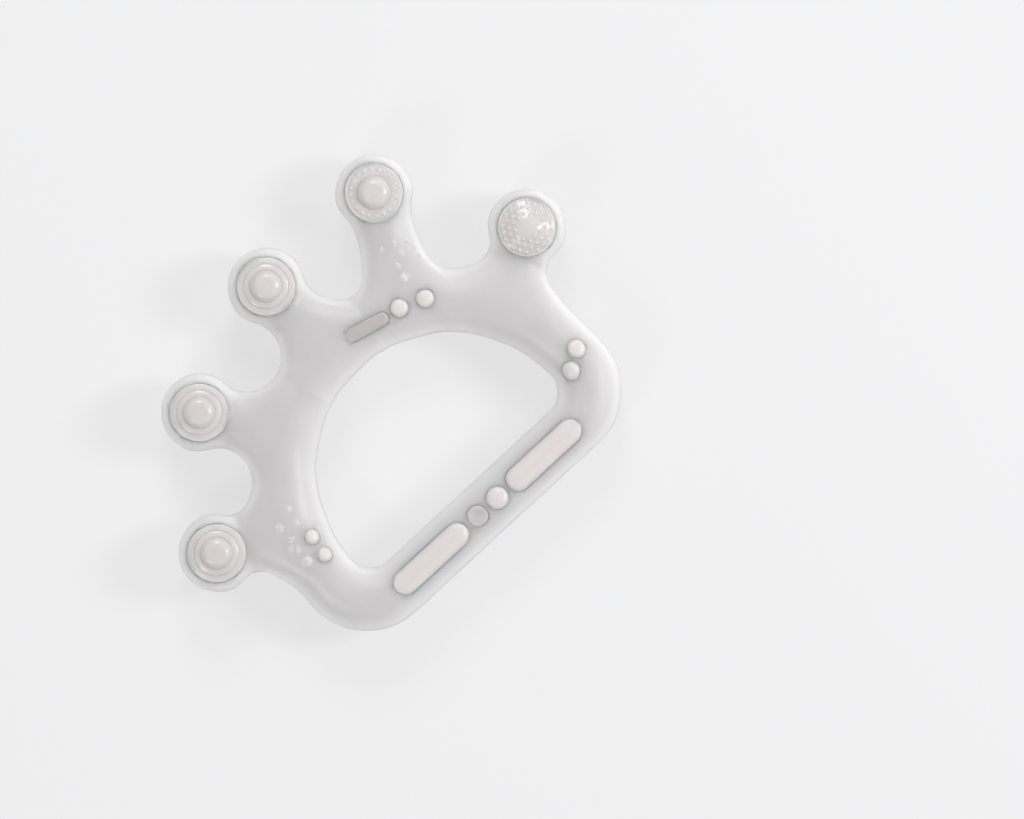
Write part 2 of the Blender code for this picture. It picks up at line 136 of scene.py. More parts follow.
stations = []
for i, angle in enumerate(FINGER_ANGLES):
    axis, left = finger_axes(i)
    for side, starts in ((1, True), (-1, False)):
        flank = axis * ROOT_ALONG + left * ROOT_ACROSS * side
        stations.append((hole_point(angle + side * SPREAD * INNER_SPREAD), flank,
                         BAND_HALF_THICK, starts))
    if i + 1 < len(FINGER_ANGLES):
        middle = (angle + FINGER_ANGLES[i + 1]) / 2
        stations.append((hole_point(middle), polar(VALLEY_REACH - VALLEY_RADIUS, middle),
                         BAND_HALF_THICK, False))
turns = (-2, -28, -55, -82)
low_side = (FINGER_ANGLES[-1] - SPREAD) / 2
stations.append((hole_point(low_side), polar(SIDE_RADIUS, low_side), BAND_HALF_THICK, False))
stations += [corner_station(turn, 1) for turn in turns]
stations += [(np.array([x, HOLE_BOTTOM]), np.array([x, BAR_BOTTOM]), BAR_HALF_THICK, False)
             for x in [bar_end * share for share in (0.85, 0.58, 0.21, -0.21, -0.58, -0.85)]]
stations += [corner_station(turn, -1) for turn in reversed(turns)]
low_side = (FINGER_ANGLES[0] + SPREAD + LEFT_BAND_END) / 2
stations.append((hole_point(low_side), polar(SIDE_RADIUS, low_side), BAND_HALF_THICK, False))
print(len(stations), "stations round the band")

# %% [markdown]
# ## Fingers with waists and knobs
#
# A finger is one ring at its thin waist and five round its knob. The knob is flatter than a ball,
# so that its pad has something to sit on: its height follows a superellipse, a circle's equation
# with a power of 3 instead of 2. The five rings lie in equal steps of angle that reach across the
# tip as well, because uneven steps would leave dents in the smoothed knob.

# %% Rings of a finger
NECK_HALF_WIDTH = 0.0057
NECK_HALF_THICK = 0.0049
KNOB_RADIUS = 0.00745
KNOB_HALF_THICK = 0.0062
KNOB_SQUARENESS = 3.0
KNOB_RINGS = (126, 98, 70, 42, 14)  # degrees from the finger's axis


def knob_height(distance):
    p = KNOB_SQUARENESS
    return KNOB_HALF_THICK * (1 - min(distance / KNOB_RADIUS, 1.0) ** p) ** (1 / p)


def finger_rings(index):
    reach = FINGER_REACH[index]
    waist = (ROOT_ALONG + reach + KNOB_RADIUS * math.cos(math.radians(KNOB_RINGS[0]))) / 2
    inside = max(VALLEY_REACH * math.cos(half_pitch) - waist, 0.0)
    width = NECK_HALF_WIDTH + VALLEY_RADIUS - math.sqrt(VALLEY_RADIUS ** 2 - inside ** 2)
    turn = 2 * math.pi / SECTION
    rings = [[(waist, width * math.cos(k * turn), NECK_HALF_THICK * math.sin(k * turn))
              for k in range(SECTION)]]
    for angle in KNOB_RINGS:
        s = KNOB_RADIUS * math.cos(math.radians(angle))
        w = KNOB_RADIUS * math.sin(math.radians(angle))
        ring = []
        for k in range(SECTION):
            side = w * math.cos(k * turn)
            up = (0, 1, 1, 0, -1, -1)[k]
            ring.append((reach + s, side, up * knob_height(math.hypot(s, side))))
        rings.append(ring)
    return rings


print("knob", round(KNOB_RADIUS * 2000, 1), "mm across, waist", NECK_HALF_WIDTH * 2000, "mm")

# %% Join stations and rings into one cage


def build_cage():
    bm = bmesh.new()
    turn = 2 * math.pi / SECTION
    loops = []
    for inner, outer, thick, _ in stations:
        middle, reach = (inner + outer) / 2, (outer - inner) / 2
        loop = []
        for k in range(SECTION):
            at = middle + reach * math.cos(k * turn)
            loop.append(bm.verts.new((at[0], at[1], thick * math.sin(k * turn))))
        loops.append(loop)
    for i, station in enumerate(stations):
        a, b = loops[i], loops[(i + 1) % len(loops)]
        for k in range(SECTION):
            if station[3] and k in (0, SECTION - 1):
                continue
            n = (k + 1) % SECTION
            bm.faces.new((a[k], a[n], b[n], b[k]))
    roots = [i for i, station in enumerate(stations) if station[3]]
    for index, i in enumerate(roots):
        axis, left = finger_axes(index)
        a, b = loops[i], loops[i + 1]
        ring = [a[0], a[1], b[1], b[0], b[5], a[5]]
        for spec in finger_rings(index):
            new = []
            for along, across, height in spec:
                at = axis * along + left * across
                new.append(bm.verts.new((at[0], at[1], height)))
            for k in range(SECTION):
                n = (k + 1) % SECTION
                bm.faces.new((ring[k], ring[n], new[n], new[k]))
            ring = new
        bm.faces.new(ring[0:4])
        bm.faces.new(ring[3:6] + ring[0:1])
    bmesh.ops.recalc_face_normals(bm, faces=bm.faces)
    return bm


cage = build_cage()
print(len(cage.verts), "cage points,", len(cage.faces), "quads")

# %% [markdown]
# ## Making the skin pass through the cage's points
#
# Smoothing pulls a surface inside its cage, so the knobs would come out too small. Where each
# smoothed point ends up is a fixed weighted average of the cage points round it. Written for all
# points at once that is a set of linear equations, and solving it backwards gives the cage whose
# smooth skin goes exactly through the places asked for.

# %% Solve the cage


def solve_cage(bm):
    bm.verts.index_update()
    count = len(bm.verts)
    weights = np.zeros((count, count))
    for v in bm.verts:
        valence = len(v.link_edges)
        total = valence * (valence + 5)
        weights[v.index, v.index] += valence * valence / total
        for edge in v.link_edges:
            weights[v.index, edge.other_vert(v).index] += 4 / total
        for face in v.link_faces:
            corners = list(face.verts)
            weights[v.index, corners[(corners.index(v) + 2) % 4].index] += 1 / total
    solved = np.linalg.solve(weights, np.array([v.co[:] for v in bm.verts]))
    moved = max((Vector(co) - v.co).length for v, co in zip(bm.verts, solved))
    for v, co in zip(bm.verts, solved):
        v.co = co
    return moved


print("largest move in mm:", round(solve_cage(cage) * 1000, 2))

# %% [markdown]
# ## From cage to fine skin
#
# Three rounds of subdivision turn 360 quads into 23 000, each about half a millimetre across,
# which is finer than any bend on the ring. The modifier is applied at once, because the next
# steps cut pockets into the result.

# %% Smooth the cage


def to_object(name, bm):
    for face in bm.faces:
        face.smooth = True
    mesh = bpy.data.meshes.new(name)
    bm.to_mesh(mesh)
    bm.free()
    ob = bpy.data.objects.new(name, mesh)
    bpy.context.scene.collection.objects.link(ob)
    return ob


def apply_modifiers(ob):
    deps = bpy.context.evaluated_depsgraph_get()
    mesh = bpy.data.meshes.new_from_object(ob.evaluated_get(deps))
    ob.modifiers.clear()
    ob.data = mesh


skin = to_object("skin", cage)
smooth = skin.modifiers.new("smooth", "SUBSURF")
smooth.levels = smooth.render_levels = 3
apply_modifiers(skin)
points = [v.co.copy() for v in skin.data.vertices]
SKIN_TREE = BVHTree.FromPolygons(points, [p.vertices[:] for p in skin.data.polygons])
print(len(points), "points in the skin")

# %% [markdown]
# ## Small turned and moulded shapes
#
# The pads, dots and bars are each a plug of whiter silicone, set into a pocket of the body. A
# round one is a turned shape: an outline spun about its axis. A bar is the same outline carried
# round a line with round ends. Where a row of the outline follows the skin, each of its points is
# measured from the skin below it, so that a thin lip lies snugly on the curved band.

# %% Read the skin's height
ABOVE_KNOBS = 0.012  # higher than anything on the ring
RAY_LENGTH = 0.03


def skin_height(axes, x, y):
    """Height of the skin above a point in the axes' XY plane."""
    start = axes @ Vector((x, y, ABOVE_KNOBS))
    hit = SKIN_TREE.ray_cast(start, -axes.to_3x3().col[2], RAY_LENGTH)[0]
    return (axes.inverted() @ hit).z


def place(bm, axes, x, y, height, follow):
    """A vertex at a height above the axes' plane (follow 0) or above the skin (follow 1)."""
    if follow:
        height += follow * skin_height(axes, x, y)
    return bm.verts.new(axes @ Vector((x, y, height)))


first_knob = Matrix.Translation((*polar(FINGER_REACH[0], FINGER_ANGLES[0]), 0))
print("skin over the first knob in mm:", round(skin_height(first_knob, 0, 0) * 1000, 2))

# %% Spin an outline
ROUND_STEPS = 64


def spin(bm, outline, axes, steps=ROUND_STEPS):
    """Spin (radius, height, follow) rows about Z; the first and last rows are on the axis."""
    rings = []
    for radius, height, follow in outline:
        count = steps if radius else 1
        rings.append([place(bm, axes, radius * math.cos(2 * math.pi * k / steps),
                            radius * math.sin(2 * math.pi * k / steps), height, follow)
                      for k in range(count)])
    for a, b in zip(rings, rings[1:]):
        for k in range(steps):
            n = (k + 1) % steps
            quad = [a[k % len(a)], a[n % len(a)], b[n % len(b)], b[k % len(b)]]
            bm.faces.new(list(dict.fromkeys(quad)))


trial = bmesh.new()
spin(trial, [(0, 0, 0), (1, 0, 0), (0, 1, 0)], Matrix.Identity(4))
print("a spun triangle has", len(trial.faces), "faces")
trial.free()

# %% Carry an outline round a bar


def capsule(bm, half_length, outline, axes, steps=ROUND_STEPS, along=16):
    """Carry (half width, height, follow) rows round a straight line with round ends."""
    widest = outline[0][0]
    straight = half_length - widest
    rings = []
    for half_width, height, follow in outline:
        ring = []
        for end in (1, -1):
            for k in range(steps // 2 + 1):
                a = math.pi * (2 * k / steps - 0.5)
                ring.append((end * (straight + half_width * math.cos(a)),
                             end * half_width * math.sin(a)))
            for k in range(1, along):
                ring.append((end * straight * (1 - 2 * k / along), end * half_width))
        rings.append([place(bm, axes, x, y, height, follow) for x, y in ring])
    for a, b in zip(rings, rings[1:]):
        for k in range(len(a)):
            n = (k + 1) % len(a)
            bm.faces.new((a[k], a[n], b[n], b[k]))
    bm.faces.new(rings[0])
    bm.faces.new(rings[-1])


trial = bmesh.new()
capsule(trial, 3, [(1, 0, 0), (1, 1, 0)], Matrix.Identity(4))
print("a plain bar has", len(trial.faces), "faces")
trial.free()

# %% Bend a short arc


def arc(r0, h0, r1, h1, bulge, steps=4):
    """Points from (r0, h0) to (r1, h1), bowed to one side by bulge."""
    pts = []
    along = Vector((r1 - r0, h1 - h0))
    side = Vector((-along.y, along.x)).normalized()
    for k in range(steps + 1):
        t = k / steps
        at = Vector((r0, h0)) + along * t + side * bulge * 4 * t * (1 - t)
        pts.append((at.x, at.y))
    return pts


print("an arc:", [(round(a, 2), round(b, 2)) for a, b in arc(0, 0, 4, 0, 1)])

# %% [markdown]
# ## Seats on a curved skin
#
# The band is round in section, so a dot beside its crest leans outwards. Each seat is found by
# shooting a ray at the smooth skin from above (or below) and standing a small set of axes on the
# point it hits, with Z along the skin's own normal. Everything is shaped flat, then moved there.

# %% Axes that stand on the skin
RAY_START = 0.05


def seat_axes(x, y, sign, along=(1.0, 0.0)):
    above = Vector((x, y, sign * RAY_START))
    hit, normal, _, _ = SKIN_TREE.ray_cast(above, Vector((0, 0, -sign)))
    up = normal if normal.z * sign > 0 else -normal
    ahead = Vector((along[0], along[1], 0))
    ahead = (ahead - up * ahead.dot(up)).normalized()
    axes = Matrix((ahead, up.cross(ahead), up)).transposed().to_4x4()
    axes.translation = hit
    return axes


def knob_axes(index, sign):
    at = polar(FINGER_REACH[index], FINGER_ANGLES[index])
    flip = Matrix.Identity(4) if sign > 0 else Matrix.Rotation(math.pi, 4, "X")
    return Matrix.Translation((at[0], at[1], 0)) @ flip


bar_middle = seat_axes(0, (HOLE_BOTTOM + BAR_BOTTOM) / 2, 1).translation
print("crest of the bar in mm:", round(bar_middle.z * 1000, 2))

# %% [markdown]
# ## Pads on the knobs
#
# A baby bites the knobs most, so each has a pad with its own feel. Three are steps round a dome,
# like ripples; one is a dome in a ring of tiny nubs; one is a low mound covered in nubs. Each is
# turned from an outline of short arcs, so that every step has a rounded lip and catches a thin
# crescent of light.

# %% Outlines of the pads
PAD_RADIUS = 0.0055
PAD_SEAT = 0.0053
SEAT_DROP = 0.0007
PAD_TOP = 0.0073
LIP = 0.00042
LIP_TOP = 0.00012
SEAT_LIFT = 0.0001
knob_middle = Vector((*polar(FINGER_REACH[1], FINGER_ANGLES[1]), 0))
RIM_HEIGHT = skin_height(Matrix.Translation(knob_middle), 0, PAD_RADIUS)
floor_rows = [(share * PAD_RADIUS, PAD_SEAT - SEAT_DROP * share ** 2, 0) for share in (0, 0.62, 1)]
lip_rows = [(PAD_RADIUS, -0.00030, 1), (PAD_RADIUS + LIP, -0.00005, 1),
            (PAD_RADIUS + LIP * 0.7, 0.00001, 1), (PAD_RADIUS + LIP * 0.3, 0.00005, 1)]


def pad_outline(corners):
    """Corners are (share of radius, height in mm above the skin's edge, bulge of the arc)."""
    rows = [(r, h + SEAT_LIFT, f) for r, h, f in floor_rows] + lip_rows
    last = (PAD_RADIUS, RIM_HEIGHT + LIP_TOP)
    rows.append((PAD_RADIUS, LIP_TOP, 1))
    for share, height, bulge in corners:
        at = (share * PAD_RADIUS, RIM_HEIGHT + height / 1000)
        rows += [(r, h, 0) for r, h in arc(*last, *at, -bulge / 1000, 5)[1:]]
        last = at
    rows += [(0.08 * PAD_RADIUS, PAD_TOP - 0.00001, 0), (0.0, PAD_TOP, 0)]
    return rows


RIPPLES = ((0.96, 0.20, 0.04), (0.80, 0.42, 0.05), (0.775, 0.42, -0.01), (0.745, 0.66, 0.05),
           (0.57, 0.90, 0.06), (0.54, 0.90, -0.01), (0.505, 1.24, 0.06), (0.20, 1.97, 0.30))
DOME = ((0.95, 0.20, 0.04), (0.64, 0.62, 0.05), (0.56, 0.64, -0.03), (0.515, 1.10, 0.06),
        (0.20, 1.96, 0.34))
MOUND = ((0.94, 0.22, 0.05), (0.72, 0.75, 0.05), (0.50, 1.33, 0.07), (0.20, 1.93, 0.10))


def height_at(outline, radius):
    """Height of a pad's upper surface at a distance from its axis."""
    tops = [(r, h) for r, h, follow in outline if not follow][3:]
    for (r0, h0), (r1, h1) in zip(tops, tops[1:]):
        if r1 <= radius <= r0:
            return h0 + (h1 - h0) * (r0 - radius) / max(r0 - r1, 1e-9)
    return PAD_TOP


print("skin at the pads' edge in mm:", round(RIM_HEIGHT * 1000, 2))

# %% [markdown]
# ## Nubs
#
# Nubs massage sore gums. Each is a ball sunk nearly half way into its pad. The fourth pad has one
# ring of them; the fifth has a field, laid out like oranges in a crate with every other row moved
# half a step. One Boolean union joins them, so that no faces are left inside to trap light.
# Blender's own check then mends any tiny faulty face that the union leaves.

# %% Nubs
NUB_SUNK = 0.45


def nub_ring(share, count, size):
    return [(*polar(share * PAD_RADIUS, 360 * k / count), size) for k in range(count)]


def nub_field(inner, outer, pitch, size):
    spots = []
    rows = int(outer * PAD_RADIUS / pitch) + 2
    for row in range(-rows, rows + 1):
        for col in range(-rows, rows + 1):
            x, y = (col + 0.5 * (row % 2)) * pitch, row * pitch * 0.87
            if inner < math.hypot(x, y) / PAD_RADIUS < outer:
                spots.append((x, y, size))
    return spots


def combine(ob, tool, operation):
    """Join a tool to an object, or cut it out, with one exact Boolean."""
    solid = ob.modifiers.new(operation.lower(), "BOOLEAN")
    solid.operation = operation
    solid.solver = "EXACT"
    solid.object = tool
    apply_modifiers(ob)
    ob.data.validate()
    bpy.data.objects.remove(tool, do_unlink=True)


def add_nubs(pad, outline, spots, axes):
    bm = bmesh.new()
    for x, y, size in spots:
        spot = Matrix.Translation((x, y, height_at(outline, math.hypot(x, y)) - NUB_SUNK * size))
        bmesh.ops.create_uvsphere(bm, u_segments=14, v_segments=8, radius=size,
                                  matrix=Matrix.Translation(CENTRE) @ axes @ spot)
    combine(pad, to_object("nubs", bm), "UNION")


print(len(nub_field(0.34, 0.9, 0.0015, 1)), "nubs in a full field")

# %% [markdown]
# ## Where the bars, dots and plug go
#
# Along the grip bar lie a long raised bar, the filling plug, a dot and another long bar. Pairs of
# dots sit at the two lower corners and above the hole, where a short low rib starts. The list is
# kept in one place because it is used twice: once to cut the pockets and once to fill them.

# %% List the raised pieces
SEAT_DEPTH = 0.0008
RIB_DEPTH = 0.0009
RAISE = 0.00075
ROW_Y = -0.0091
BAR_X = 0.0145
CENTRE_DOT_X = 0.00255
PLUG_RADIUS = 0.0020
BAR = {"half_length": 0.0088, "half_width": 0.0022, "raise": RAISE, "depth": SEAT_DEPTH}
RIB = {"half_length": 0.0045, "half_width": 0.0013, "raise": 0.00014, "depth": RIB_DEPTH}

bars = []
for sign, face in ((1, "front"), (-1, "back")):
    for side, word in ((-1, "left"), (1, "right")):
        bars.append(("%s_grip_bar_%s" % (face, word), seat_axes(side * BAR_X, ROW_Y, sign), BAR))
bars.append(("top_rib", seat_axes(0.0063, 0.03145, 1, (-0.97, 0.25)), RIB))

dots = []
for name, x, y, radius in (("centre_dot", CENTRE_DOT_X, ROW_Y, 0.0020),
                           ("left_dot_1", -0.0283, 0.0093, 0.00135),
                           ("left_dot_2", -0.0288, 0.0052, 0.00135),
                           ("right_dot_1", 0.0328, 0.0015, 0.00165),
                           ("right_dot_2", 0.0291, -0.0009, 0.00165),
                           ("top_dot_1", 0.0181, 0.0280, 0.0016),
                           ("top_dot_2", 0.0133, 0.0300, 0.0016)):
    dots.append((name, seat_axes(x, y, 1), radius))
plug_axes = seat_axes(-CENTRE_DOT_X, ROW_Y, 1)
print(len(bars), "bars and ribs,", len(dots), "dots, one plug")

# %% [markdown]
# ## Blisters over trapped air
#
# The ring is filled with gel, and a little air always stays in. It gathers in loose groups, and
# where a bubble presses on the soft wall the skin stands up over it as a small blister. Each is a
# ball sunk a little less than half way, and one Boolean union melts them all into the skin, so
# that no faces are left underneath. The smooth skin is copied first, for the inner wall.

# %% Raise the blisters
inner_mesh = skin.data.copy()
BLISTERS = ((-0.0317, 0.0146, 0.00085), (-0.0280, 0.0161, 0.00050), (-0.0287, 0.0133, 0.00055),
            (-0.0316, 0.0116, 0.00048), (-0.0329, 0.0102, 0.00067), (-0.0319, 0.0093, 0.00055),
            (-0.0322, 0.0065, 0.00105), (0.0177, 0.0335, 0.00075), (0.0185, 0.0361, 0.00050),
            (0.0207, 0.0373, 0.00050), (0.0210, 0.0396, 0.00040), (0.0184, 0.0404, 0.00040),
            (0.0230, 0.0382, 0.00040), (0.0233, 0.0365, 0.00040), (0.0229, 0.0347, 0.00040))
BLISTER_SUNK = 0.42

balls = bmesh.new()
for x, y, radius in BLISTERS:
    spot = seat_axes(x, y, 1) @ Matrix.Translation((0, 0, -radius * BLISTER_SUNK))
    bmesh.ops.create_uvsphere(balls, u_segments=20, v_segments=12, radius=radius, matrix=spot)
combine(skin, to_object("balls", balls), "UNION")
print(len(BLISTERS), "blisters")

# %% [markdown]
# ## Cutting the pockets
#
# All the pockets are cut in one Boolean, from one mesh of separate plugs a hair larger than the
# pieces. The exact solver is used, because the plugs cross thousands of small quads.

# %% Cut every pocket at once
FIT = 0.00003
ABOVE_SKIN = 0.002

cutters = bmesh.new()
for index in range(len(FINGER_ANGLES)):
    for sign in (1, -1):
        floor_cut = [(r * (1 + FIT / PAD_RADIUS), h, f) for r, h, f in floor_rows]
        radius = floor_cut[-1][0]
        spin(cutters, floor_cut + [(radius, ABOVE_KNOBS, 0), (0, ABOVE_KNOBS, 0)],
             knob_axes(index, sign))
for name, axes, size in bars:
    width = size["half_width"] + FIT
    capsule(cutters, size["half_length"] + FIT,
            [(width, -size["depth"], 0), (width, ABOVE_SKIN, 0)], axes)
for name, axes, radius in dots + [("filling_plug", plug_axes, PLUG_RADIUS)]:
    spin(cutters, [(0, -SEAT_DEPTH, 0), (radius + FIT, -SEAT_DEPTH, 0),
                   (radius + FIT, ABOVE_SKIN, 0), (0, ABOVE_SKIN, 0)], axes)
bmesh.ops.recalc_face_normals(cutters, faces=cutters.faces)
combine(skin, to_object("pockets", cutters), "DIFFERENCE")
print(len(skin.data.polygons), "faces after cutting")

# %% [markdown]
# ## Two hollow halves
#
# The ring is moulded as two halves that are bonded round their rims, because a closed hollow
# shape can't come out of a mould in one piece. Each half keeps its side of the cut skin, gets an
# inner face two millimetres in, and is closed by a flat rim. A hair's breadth is left between the
# rims, so that the parting line shows as a fine seam round the edge, as it does on the real one.

# %% Split the skin into halves
WALL = 0.0020
SEAM = 0.00008


def sink_skin(mesh, depth):
    """Move every point of a mesh inwards along its own normal."""
    bm = bmesh.new()
    bm.from_mesh(mesh)
    for v, normal in [(v, v.normal.copy()) for v in bm.verts]:
        v.co -= normal * depth
    bm.to_mesh(mesh)
    bm.free()


sink_skin(inner_mesh, WALL)


def half_body(name, sign):
    bm = bmesh.new()
    bm.from_mesh(skin.data)
    bm.from_mesh(inner_mesh)
    away = [f for f in bm.faces if f.calc_center_median().z * sign < 0]
    bmesh.ops.delete(bm, geom=away, context="FACES")
    rim = [e for e in bm.edges if e.is_boundary]
    bmesh.ops.triangle_fill(bm, edges=rim, use_beauty=True, normal=Vector((0, 0, -sign)))
    bmesh.ops.recalc_face_normals(bm, faces=bm.faces)
    bmesh.ops.translate(bm, verts=bm.verts, vec=CENTRE + Vector((0, 0, sign * SEAM / 2)))
    return to_object(name, bm)


front_body = half_body("front_body", 1)
back_body = half_body("back_body", -1)
for ob, node in ((front_body, "front_shell"), (back_body, "back_shell")):
    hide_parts(node)
    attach(ob, "root")
    print(ob.name, len(ob.data.polygons), "faces")
bpy.data.objects.remove(skin, do_unlink=True)

# %% [markdown]
# ## Filling the pockets
#
# Now the pieces themselves. `finish_piece` shifts a piece from the layout to the model's frame,
# hides the node whose place it takes, and lets it ride on the only body there is.

# %% Pads on the knobs


def finish_piece(name, bm, node):
    bmesh.ops.recalc_face_normals(bm, faces=bm.faces)
    bmesh.ops.translate(bm, verts=bm.verts, vec=CENTRE)
    ob = to_object(name, bm)
    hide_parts(node)
    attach(ob, "root")
    return ob


white_pieces = []
KNOBS = ((RIPPLES, []), (RIPPLES, []), (RIPPLES, []), (DOME, nub_ring(0.80, 20, 0.00040)),
         (MOUND, nub_field(0.36, 0.88, 0.00130, 0.00038)))
for index, (corners, nubs) in enumerate(KNOBS):
    for sign, face in ((1, "front"), (-1, "back")):
        outline = pad_outline(corners if sign > 0 else MOUND)
        bm = bmesh.new()
        spin(bm, outline, knob_axes(index, sign))
        name = "%s_pad_%d" % (face, index + 1)
        pad = finish_piece(name, bm, "%s_knob_pad_%d" % (face, index + 1))
        if sign > 0 and nubs:
            add_nubs(pad, outline, nubs, knob_axes(index, sign))
        white_pieces.append(pad)
print(len(white_pieces), "pads")

# %% [markdown]
# ## Bars and dots
#
# A bar or dot has straight sides in its pocket, and above the skin it closes over a rounded
# shoulder into a nearly flat top. The shoulder is a quarter of an ellipse, so the highlight that
# runs round the top edge is soft at the outside and crisp at the inside. The rib is made the same
# way, but so low that it only just shows.

# %% Bars, dots and the rib
SEAT_GAP = 0.0001
SMALL_STEPS = 48
FILLET_SHARE, DOME_SHARE = 0.20, 0.79  # of the height above the skin


def raised_outline(half_width, height, shoulder, depth, flare=0.00034, steps=9):
    """Rows from the pocket's floor up: a stem, a thin lip on the skin, a fillet, a round top."""
    rows = [(half_width, SEAT_GAP - depth, 0), (half_width, -0.00015, 1),
            (half_width + flare, -0.00004, 1), (half_width + flare * 0.6, 0.00003, 1),
            (half_width + flare * 0.15, height * FILLET_SHARE, 1)]
    for k in range(1, steps + 1):
        a = math.pi / 2 * k / steps
        inset = shoulder * half_width * (1 - math.cos(a))
        up = math.sin(a)
        rows.append((half_width - inset, height * (FILLET_SHARE + DOME_SHARE * up), 1 - up))
    return rows


for name, axes, size in bars:
    outline = raised_outline(size["half_width"], size["raise"], 0.75, size["depth"])
    bm = bmesh.new()
    capsule(bm, size["half_length"], outline, axes)
    if name == "top_rib":
        rib = finish_piece("low_rib", bm, name)
    else:
        white_pieces.append(finish_piece(name.replace("grip_bar", "bar"), bm, name))
for name, axes, radius in dots:
    outline = raised_outline(radius, RAISE, 0.9, SEAT_DEPTH)
    bm = bmesh.new()
    spin(bm, [(0, outline[0][1], 0)] + outline + [(0, RAISE, 0)], axes, SMALL_STEPS)
    white_pieces.append(finish_piece(name.replace("dot", "spot"), bm, name))
print(len(white_pieces), "white pieces")

# %% [markdown]
# ## The filling plug
#
# The gel is poured in through a small port in the bar, which is then stopped with a plug. It sits
# almost flush, with a moulded ring round a shallow dimple where the tool pressed it home.

# %% Filling plug
PORT_RADIUS = 0.0011
PLUG_EDGE = (PLUG_RADIUS, 0.00008)
PLUG_RING = (0.0016, 0.00034)
DIMPLE_EDGE = (0.00095, 0.00016)
DIMPLE_FLOOR = (0.0002, 0.00004)

plug_outline = [(0, -WALL), (PORT_RADIUS, -WALL), (PORT_RADIUS, SEAT_GAP - SEAT_DEPTH),
                (PLUG_RADIUS, SEAT_GAP - SEAT_DEPTH), PLUG_EDGE]
plug_outline += arc(*PLUG_EDGE, *PLUG_RING, -0.00004)[1:]
plug_outline += arc(*PLUG_RING, *DIMPLE_EDGE, -0.00004)[1:]
plug_outline += arc(*DIMPLE_EDGE, *DIMPLE_FLOOR, 0.00001)[1:]
bm = bmesh.new()
spin(bm, [(r, h, 0) for r, h in plug_outline + [(0, DIMPLE_FLOOR[1])]], plug_axes, SMALL_STEPS)
plug = finish_piece("port_plug", bm, "filling_plug")
print("plug", len(plug.data.polygons), "faces")

# %% [markdown]
# ## The gel inside
#
# The filling takes the shape of the hollow it is poured into. It is the halves' inner face again,
# a tenth of a millimetre smaller. Light that gets through the frosted wall bends once more in it,
# which makes the middle of the band look deeper. Its cooler tone beside paler rims is painted
# light.

# %% Gel
sink_skin(inner_mesh, 0.0001)
bm = bmesh.new()
bm.from_mesh(inner_mesh)
gel = finish_piece("gel_filling", bm, "cooling_gel")
print("gel", len(gel.data.polygons), "faces")

# %% [markdown]
# ## A small kit for materials
#
# Every finish here is a Principled shader fed by noise. Noise is read in object coordinates, so
# its grain has a real size: a scale of 100 gives clouds about a centimetre across.

# %% New materials and their noise


def new_material(name, ior):
    mat = bpy.data.materials.new(name)
    mat.use_nodes = True
    shader = mat.node_tree.nodes["Principled BSDF"]
    shader.inputs["IOR"].default_value = ior
    return mat, mat.node_tree, shader


def noise(tree, scale, detail=2.0):
    coord = tree.nodes.new("ShaderNodeTexCoord")
    node = tree.nodes.new("ShaderNodeTexNoise")
    node.inputs["Scale"].default_value = scale
    node.inputs["Detail"].default_value = detail
    tree.links.new(coord.outputs["Object"], node.inputs["Vector"])
    return node.outputs["Fac"]


print("noise helpers ready")

# %% Stretch and blend


def spread(tree, source, low, high, a, b):
    """Stretch the part of a source between low and high to run from a to b."""
    node = tree.nodes.new("ShaderNodeMapRange")
    for key, value in (("From Min", low), ("From Max", high), ("To Min", a), ("To Max", b)):
        node.inputs[key].default_value = value
    tree.links.new(source, node.inputs["Value"])
    return node.outputs["Result"]


def blend_colours(tree, factor, a, b):
    node = tree.nodes.new("ShaderNodeMix")
    node.data_type = "RGBA"
    tree.links.new(factor, node.inputs["Factor"])
    for socket, value in zip([s for s in node.inputs if s.type == "RGBA"], (a, b)):
        if isinstance(value, tuple):
            socket.default_value = value + (1,)
        else:
            tree.links.new(value, socket)
    return [s for s in node.outputs if s.type == "RGBA"][0]


print("colour helpers ready")

# %% Bump, scatter and dressing


def add_bump(tree, shader, layers):
    """Layers are (noise, height in metres between its lows and highs)."""
    normal = None
    for source, distance in layers:
        node = tree.nodes.new("ShaderNodeBump")
        node.inputs["Distance"].default_value = distance
        tree.links.new(source, node.inputs["Height"])
        if normal:
            tree.links.new(normal, node.inputs["Normal"])
        normal = node.outputs["Normal"]
    tree.links.new(normal, shader.inputs["Normal"])


def set_scatter(shader, transmission, depth, radius):
    """Let part of the light through and scatter the rest under the surface, depth in metres."""
    shader.inputs["Transmission Weight"].default_value = transmission
    shader.inputs["Subsurface Weight"].default_value = 1.0
    shader.inputs["Subsurface Scale"].default_value = depth
    shader.inputs["Subsurface Radius"].default_value = radius


def dress(objects, mat):
    for ob in objects:
        ob.data.materials.clear()
        ob.data.materials.append(mat)


print("material kit ready")

# %% [markdown]
# ## Frosted silicone
#
# The body is milky: you can't see through it, yet it glows. Most of that is light scattered a few
# millimetres under the surface, and the rest is light that passes through a very rough window.
# Pure scattering looks like wax and pure transmission like ice, so the shader mixes the two.
#
# Round the rims the colour is painted paler and warmer, painted light on the sides, and the wall
# lets less light through. Where it faces up the colour is cooler and darker, and more light
# passes. At the very side a band of painted shade darkens the outline, round the parting line. The
# surface's own normal tells the three apart. Two bumps finish it: a slow ripple left by the mould,
# and a fine frost.

# %% Frosted silicone for the body
# painted light: the rims get a paler, warmer colour than the cooler top
WARM_PAINTED_LIGHT_RIM = (0.945, 0.893, 0.884)
COOL_TOP = (0.84, 0.812, 0.816)
# painted shade: a darker band along the sides, round the parting line
PAINTED_EDGE_SHADE = (0.74, 0.69, 0.70)
MILKY_CLOUD = (0.88, 0.852, 0.854)
RIM_CLEAR, TOP_CLEAR = 0.12, 0.44

